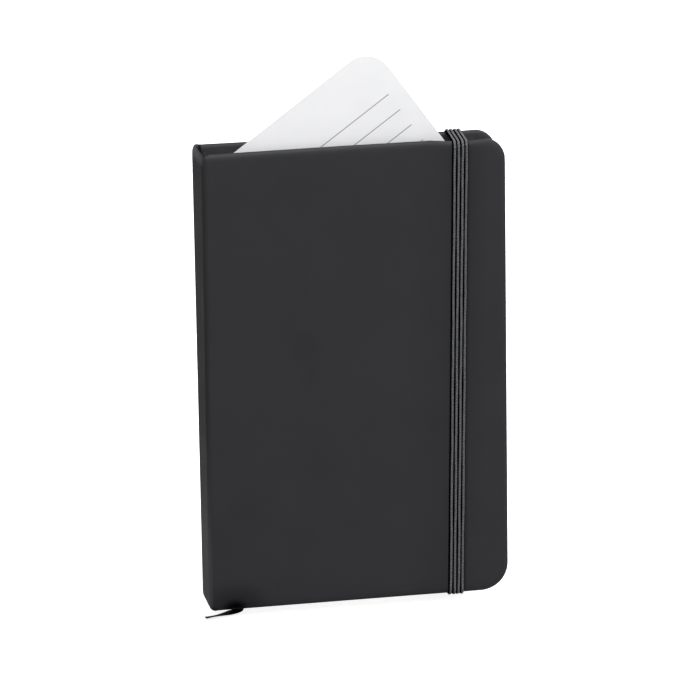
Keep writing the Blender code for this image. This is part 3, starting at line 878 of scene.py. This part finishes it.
# its four sides, from the CAD outline: the top edge falls to the left
left_pt = sheet_cad[sheet_cad[:, 0].argmin()]
low_pt = sheet_cad[sheet_cad[:, 2].argmin()]
down = np.array([low_pt[0] - left_pt[0], low_pt[2] - left_pt[2]])
SHEET_H = float(np.linalg.norm(down))
down /= SHEET_H
along = np.array([-down[1], down[0]])               # from the left corner up the top edge
flat = (sheet_cad[:, [0, 2]] - np.array([left_pt[0], left_pt[2]])) @ along
SHEET_W = float(flat.max())
SHEET_R = 8.5
sheet_origin = (left_pt[0], left_pt[2])
sheet_rules = ruling(sheet_origin, along, down, 14.9, 5.8, 8, 4.9, SHEET_W - 4.9, width=0.3)
SHEET = paper_material("loose_ruled_paper", (0.775, 0.776, 0.786), sheet_rules)


def loose_piece():
    rows = []
    nu, nv = 44, 40
    for i in range(nu + 1):
        u = SHEET_W * i / nu
        # corner columns crowd towards the rounded side
        if u > SHEET_W - SHEET_R:
            a = (u - (SHEET_W - SHEET_R)) / SHEET_R * math.pi / 2
            u = SHEET_W - SHEET_R + SHEET_R * math.sin(a)
            cut = SHEET_R - SHEET_R * math.cos(a)
        else:
            cut = 0.0
        row = []
        for j in range(nv + 1):
            v = cut + (SHEET_H - 2 * cut) * j / nv
            p = np.array(sheet_origin) + along * u + down * v
            row.append((p[0], p[1]))
        rows.append(row)
    flat = np.array(rows)
    x, z = flat[..., 0], flat[..., 1]
    # free above the covers, it leans back very slightly; inside it lies flat
    above = np.clip((z - (HALF_H - 2.0)) / (sheet_hi[2] - HALF_H + 2.0), 0, 1)
    y = sheet_y + 0.9 * above**2 + 0.25 * above * np.sin((x - left_pt[0]) / 46.0 * math.pi)
    P = np.stack([x, y, z], -1)
    du, dv = np.gradient(P, axis=0), np.gradient(P, axis=1)
    N = np.cross(du, dv)
    N /= np.maximum(np.linalg.norm(N, axis=-1, keepdims=True), 1e-9)
    N[..., :] = np.where(np.linalg.norm(N, axis=-1, keepdims=True) < 0.5, [0.0, 1.0, 0.0], N)
    verts, faces = thin_solid(P, N, 0.11)
    obj = make_object("loose_ruled_sheet", verts, faces, SHEET, sharp=50.0)
    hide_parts("loose_sheet")
    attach(obj, "loose_sheet")
    return obj


loose_piece()


# ------------------------------------------------------------------- elastic
CORDS = (-1.70, -0.50, 0.72, 1.88)
CORD_R = 0.45


def band_line():
    """Points round the book in y and z, close together, with the outward direction at each."""
    lift = 0.38
    oy, oz, r, r_front = HALF_T + lift, HALF_H + lift, 1.3, 1.9
    line = []

    def straight(a, b, n_dir, step=0.2):
        k = max(2, int(math.dist(a, b) / step))
        for i in range(k):
            s = i / k
            line.append((a[0] + (b[0] - a[0]) * s, a[1] + (b[1] - a[1]) * s, *n_dir))

    def turn(cy, cz, rad, a0, a1, inward=False, steps=9):
        for i in range(steps):
            a = a0 + (a1 - a0) * i / steps
            n = (math.cos(a), math.sin(a))
            sign = -1 if inward else 1
            line.append((cy + rad * n[0], cz + rad * n[1], sign * n[0], sign * n[1]))

    pi = math.pi
    straight((HALF_T - 1.9, SLOT_Z), (oy - 0.62, SLOT_Z), (0.0, -1.0))
    turn(oy - 0.62, SLOT_Z + 0.62, 0.62, -pi / 2, 0)
    straight((oy, SLOT_Z + 0.62), (oy, oz - r), (1.0, 0.0))
    turn(oy - r, oz - r, r, 0, pi / 2)
    straight((oy - r, oz), (-oy + r_front, oz), (0.0, 1.0))
    turn(-oy + r_front, oz - r_front, r_front, pi / 2, pi, steps=16)
    straight((-oy, oz - r_front), (-oy, -oz + r_front), (-1.0, 0.0))
    turn(-oy + r_front, -oz + r_front, r_front, pi, 1.5 * pi, steps=16)
    straight((-oy + r_front, -oz), (oy - r, -oz), (0.0, -1.0))
    turn(oy - r, -oz + r, r, 1.5 * pi, 2 * pi)
    straight((oy, -oz + r), (oy, -SLOT_Z - 0.62), (1.0, 0.0))
    turn(oy - 0.62, -SLOT_Z - 0.62, 0.62, 0, pi / 2)
    straight((oy - 0.62, -SLOT_Z), (HALF_T - 1.9, -SLOT_Z), (0.0, 1.0))
    line.append((HALF_T - 1.9, -SLOT_Z, 0.0, 1.0))
    return np.array(line)


def elastic_piece():
    line = band_line()
    pos, nrm = line[:, :2], line[:, 2:]
    # the slots' bends are turned the other way, so keep the normal continuous there
    for i in range(1, len(nrm)):
        if nrm[i] @ nrm[i - 1] < -0.5:
            nrm[i] = -nrm[i]
    s = np.concatenate([[0], np.cumsum(np.linalg.norm(np.diff(pos, axis=0), axis=1))])
    half = BAND_W / 2
    # outer side: samples across the width, closer together over the cords
    u_out = np.unique(np.round(np.concatenate([
        np.linspace(-half, half, 9),
        *[c + CORD_R * np.cos(np.linspace(0, np.pi, 9)) for c in CORDS],
    ]), 3))
    u_out = u_out[np.abs(u_out) <= half]
    rows, cord_w, along_w, across_w = [], [], [], []
    wander = 0.05 * np.sin(s / 5.3) + 0.03 * np.sin(s / 2.1 + 1.0)
    for k in range(len(s)):
        heights, cords = [], []
        for u in u_out:
            best, lift_c = 0.0, 0.0
            for q, c in enumerate(CORDS):
                c = c + wander[k] * (0.6 if q % 2 else -0.6)
                w = 1 - ((u - c) / CORD_R) ** 2
                if w > best:
                    best = w
                    beat = math.sin(2 * math.pi * s[k] / 0.93 + q * 2.4 + 2.0 * (u - c))
                    lift_c = 0.29 * math.sqrt(w) * (0.88 + 0.12 * beat)
            edge = max(0.0, (abs(u) - (half - 0.25)) / 0.25)
            heights.append(0.02 - 0.30 * edge**2 + lift_c)
            cords.append(min(1.0, best * 1.25))
        y, z = pos[k]
        n = nrm[k]
        x0 = centre_x(y, z)
        ring = [(x0 + u, y + n[0] * h, z + n[1] * h) for u, h in zip(u_out, heights)]
        beneath = (half - 0.1, half * 0.5, 0.0, -half * 0.5, -half + 0.1)
        ring += [(x0 + u, y - n[0] * 0.36, z - n[1] * 0.36) for u in beneath]
        rows.append(ring)
        cord_w.append(cords + [0.0] * 5)
        along_w.append([s[k]] * (len(u_out) + 5))
        across_w.append(list(u_out) + list(beneath))
    P = np.array(rows)
    m, n = P.shape[:2]
    faces = quads(m, n, wrap_n=True)
    faces += [tuple(range(n)), tuple((m - 1) * n + j for j in range(n))]
    obj = make_object("woven_elastic", press(P.reshape(-1, 3)), faces, ELASTIC, sharp=70.0)
    for name, data in (("cord", cord_w), ("along", along_w), ("across", across_w)):
        layer = obj.data.attributes.new(name, "FLOAT", "POINT")
        layer.data.foreach_set("value", np.array(data, np.float32).reshape(-1))
    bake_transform(obj)
    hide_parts("elastic_band")
    return obj


elastic_piece()


# -------------------------------------------------------------------- ribbon
def ribbon_piece():
    # sides of the CAD strip, read off its cross-sections: centre and half-width vector
    r_lo, r_hi = box_mm("ribbon_marker")
    half = 2.25
    y0 = (box_mm("section_3")[1][1] + box_mm("section_4")[0][1]) / 2
    tail = -HALF_H
    control = [
        ((5.3, y0, r_hi[2]), (half, 0, 0)),
        ((6.1, y0, 30.0), (half, 0, 0)),
        ((7.1, y0, -20.0), (half, 0, 0)),
        ((8.1, y0, tail + 3.5), (half, 0, 0)),
        ((8.4, y0, tail - 0.2), (half, 0, 0)),
        ((8.8, y0 - 0.35, tail - 0.9), (2.16, -0.62, 0.06)),
        ((9.14, -0.87, tail - 1.4), (1.95, -1.10, 0.14)),
        ((9.20, -1.55, tail - 1.95), (1.55, -1.60, 0.22)),
        ((8.60, -2.15, tail - 2.25), (0.98, -2.00, 0.20)),
        ((6.82, -2.95, tail - 2.33), (0.20, -2.24, 0.10)),
        ((4.81, -3.97, tail - 2.30), (-0.28, -2.22, 0.27)),
        ((2.21, -5.42, tail - 2.20), (-0.42, -2.17, 0.49)),
        ((0.30, -6.35, tail - 2.12), (-0.41, -2.17, 0.50)),
        ((-1.35, -6.95, tail - 2.10), (-0.39, -2.19, 0.38)),
    ]
    mid = smooth_path([c for c, _ in control], 10)
    side = smooth_path([s for _, s in control], 10)
    n_across = 12
    v = np.linspace(-1, 1, n_across + 1)
    P = mid[:, None, :] + side[:, None, :] * v[None, :, None]
    # the free end is cut on a slant
    tangent = mid[-1] - mid[-2]
    tangent /= np.linalg.norm(tangent)
    last = len(mid) - 1
    for i in range(last - 6, last + 1):
        P[i] += tangent[None, :] * (v[:, None] * -0.45) * ((i - last + 6) / 6)
    du, dv = np.gradient(P, axis=0), np.gradient(P, axis=1)
    N = np.cross(du, dv)
    N /= np.linalg.norm(N, axis=-1, keepdims=True)
    # the length along the middle, not used further, and a thin closed solid of even thickness
    along_s = np.concatenate([[0], np.cumsum(np.linalg.norm(np.diff(mid, axis=0), axis=1))])
    verts, faces = thin_solid(P, N, 0.17)
    obj = make_object("satin_marker", verts, faces, RIBBON, sharp=60.0)
    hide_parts("ribbon_marker")
    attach(obj, "ribbon")
    return obj


ribbon_piece()


def fold_with_block(obj):
    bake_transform(obj)


lo, hi = box_mm("spine_lining")
ys = np.concatenate([np.linspace(hi[1], 1.0, 6), np.linspace(0.8, -0.95, 12), np.linspace(-1.2, lo[1], 6)])
zs = np.linspace(lo[2], hi[2], 30)
P = np.array([[((lo[0] + hi[0]) / 2 + 0.02 * math.sin(y * 4 + z), y, z) for z in zs] for y in ys])
N = np.tile(np.array([-1.0, 0.0, 0.0]), P.shape[:2] + (1,))
verts, faces = thin_solid(P, N, 0.11)
lining = make_object("mull_lining", verts, faces, MULL)
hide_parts("spine_lining")
fold_with_block(lining)


def rolled_band(name, node):
    lo, hi = box_mm(node)
    cx, cz, r = (lo[0] + hi[0]) / 2, (lo[2] + hi[2]) / 2, (hi[2] - lo[2]) / 2
    length = hi[1] - lo[1]
    steps, around = 132, 14
    rows = []
    for i in range(steps + 1):
        y = hi[1] - length * i / steps
        bump = 0.5 + 0.5 * math.cos(2 * math.pi * y / 0.62)
        end = min(1.0, (min(i, steps - i) + 1) / 4)
        rad = r * (0.82 + 0.16 * bump) * (0.55 + 0.45 * end)
        rows.append([(cx + rad * math.cos(a), y, cz + rad * math.sin(a)) for a in np.linspace(0, 2 * math.pi, around, endpoint=False)])
    P = np.array(rows)
    faces = quads(steps + 1, around, wrap_n=True)
    faces += [tuple(range(around)), tuple(steps * around + j for j in range(around))]
    obj = make_object(name, P.reshape(-1, 3), faces, BAND, sharp=80.0)
    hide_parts(node)
    fold_with_block(obj)


rolled_band("headband_roll", "headband")
rolled_band("tailband_roll", "tailband")


def thread_piece():
    lo, hi = box_mm("sewing_thread")
    cx, r = (lo[0] + hi[0]) / 2, 0.11
    zs = np.linspace(lo[2] + 0.13, hi[2] - 0.13, 6)
    reach = hi[1] - 0.13
    path = []
    for i, z in enumerate(zs):
        sgn = 1 if i % 2 == 0 else -1
        for y in np.linspace(-sgn * reach, sgn * reach, 15):
            path.append((cx, y, z + 0.10 * math.sin(y * 2.2)))
        if i < 5:
            for zz in np.linspace(z, zs[i + 1], 9)[1:-1]:
                path.append((cx, sgn * reach, zz))
    path = np.array(path)
    T = np.gradient(path, axis=0)
    T /= np.linalg.norm(T, axis=1, keepdims=True)
    nx = np.tile(np.array([1.0, 0.0, 0.0]), (len(path), 1))
    b = np.cross(T, nx)
    b /= np.linalg.norm(b, axis=1, keepdims=True)
    n = np.cross(b, T)
    around = 8
    ang = np.linspace(0, 2 * np.pi, around, endpoint=False)
    P = path[:, None, :] + r * (np.cos(ang)[None, :, None] * n[:, None, :] + np.sin(ang)[None, :, None] * b[:, None, :])
    m = len(path)
    faces = quads(m, around, wrap_n=True)
    faces += [tuple(range(around)), tuple((m - 1) * around + j for j in range(around))]
    obj = make_object("linen_thread", P.reshape(-1, 3), faces, THREAD, sharp=80.0)
    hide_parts("sewing_thread")
    fold_with_block(obj)


thread_piece()


# ---------------------------------------------------------- floor and lights
FLOOR_BOUNCE, FLOOR_GLOW = 0.40, 0.80
ROOM_FRONT, ROOM_BACK = 0.60, 0.16
floor_z = min(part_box("ribbon_marker")[0][2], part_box("elastic_band")[0][2]) - 0.0002
mesh = bpy.data.meshes.new("floor")
size = 6.0
mesh.from_pydata([(-size, -size, floor_z), (size, -size, floor_z), (size, size, floor_z), (-size, size, floor_z)], [], [(0, 1, 2, 3)])
floor = bpy.data.objects.new("floor", mesh)
scene.collection.objects.link(floor)
n = Nodes("white_sweep")
paper = n.noise(n.add("ShaderNodeTexCoord").outputs["Object"], 30.0, 3.0)
tone = n.mix(n.mapped(paper, 0.3, 0.7, 0.0, 1.0), (0.88, 0.88, 0.88), (0.90, 0.90, 0.90))
seen = n.add("ShaderNodeLightPath").outputs["Is Camera Ray"]
tone = n.mix(seen, (FLOOR_BOUNCE,) * 3, tone)
n.finish(tone, 0.9, Specular_IOR_Level=0.0)
n.shader.inputs["Emission Color"].default_value = (1, 1, 1, 1)
n.link(n.math("MULTIPLY", seen, FLOOR_GLOW), n.shader.inputs["Emission Strength"])
floor.data.materials.append(n.mat)

world = bpy.data.worlds.new("studio")
scene.world = world
world.use_nodes = True
wt = world.node_tree
bg = wt.nodes["Background"]
coord = wt.nodes.new("ShaderNodeTexCoord")
sep = wt.nodes.new("ShaderNodeSeparateXYZ")
wt.links.new(coord.outputs["Generated"], sep.inputs[0])
# the room is brighter in front of the book than behind it
room = wt.nodes.new("ShaderNodeMapRange")
room.inputs[1].default_value, room.inputs[2].default_value = -0.9, 0.5
room.inputs[3].default_value, room.inputs[4].default_value = ROOM_FRONT, ROOM_BACK
wt.links.new(sep.outputs[1], room.inputs[0])
ray = wt.nodes.new("ShaderNodeLightPath")
pick = wt.nodes.new("ShaderNodeMix")
pick.data_type = "FLOAT"
wt.links.new(ray.outputs["Is Camera Ray"], pick.inputs[0])
wt.links.new(room.outputs[0], pick.inputs[2])
pick.inputs[3].default_value = 1.0
bg.inputs["Color"].default_value = (1, 1, 1, 1)
wt.links.new(pick.outputs[0], bg.inputs["Strength"])

lo, hi = CAD_BOX
centre = (lo + hi) / 2


def area(name, direction, distance, size, watts, size_y=None):
    light = bpy.data.lights.new(name, "AREA")
    light.shape = "RECTANGLE"
    light.size, light.size_y = size, size_y or size
    light.energy = watts
    obj = bpy.data.objects.new(name, light)
    d = Vector(direction).normalized()
    obj.location = centre + d * distance
    obj.rotation_mode = "QUATERNION"
    obj.rotation_quaternion = d.to_track_quat("Z", "Y")
    obj.visible_camera = False
    scene.collection.objects.link(obj)
    return obj


area("top_softbox", (0.15, -0.32, 1.0), 1.1, 0.75, 13.5)
area("right_softbox", (1.0, -0.9, 0.45), 1.3, 0.6, 4.0)
area("front_softbox", (-0.25, -1.0, 0.6), 1.8, 1.2, 3.2)
area("left_softbox", (-1.0, -0.30, -0.05), 1.3, 0.5, 1.25)
area("back_softbox", (0.9, 1.0, 0.55), 1.5, 0.9, 13.0)

# -------------------------------------------------------------------- camera
# The photograph's viewing angle: to the spine side and a little above.
azimuth, elevation, roll = math.radians(-10.742), math.radians(14.663), math.radians(-0.903)
distance, focal_px = 1.35923, 4548.67
target = Vector((0.045339, 0.0, 0.006116))
back = Vector((math.sin(azimuth) * math.cos(elevation), -math.cos(azimuth) * math.cos(elevation), math.sin(elevation)))
right = (-back).cross(Vector((0, 0, 1))).normalized()
upward = right.cross(-back)
r_right = right * math.cos(roll) + upward * math.sin(roll)
r_up = upward * math.cos(roll) - right * math.sin(roll)
cam_data = bpy.data.cameras.new("camera")
cam_data.sensor_width = 36.0
cam_data.lens = focal_px / 700.0 * 36.0
cam = bpy.data.objects.new("camera", cam_data)
scene.collection.objects.link(cam)
cam.matrix_world = Matrix(
    (
        (r_right.x, r_up.x, back.x, target.x + back.x * distance),
        (r_right.y, r_up.y, back.y, target.y + back.y * distance),
        (r_right.z, r_up.z, back.z, target.z + back.z * distance),
        (0, 0, 0, 1),
    )
)
cam_data.clip_start, cam_data.clip_end = 0.01, 50.0
scene.camera = cam
scene.view_settings.view_transform = "Standard"
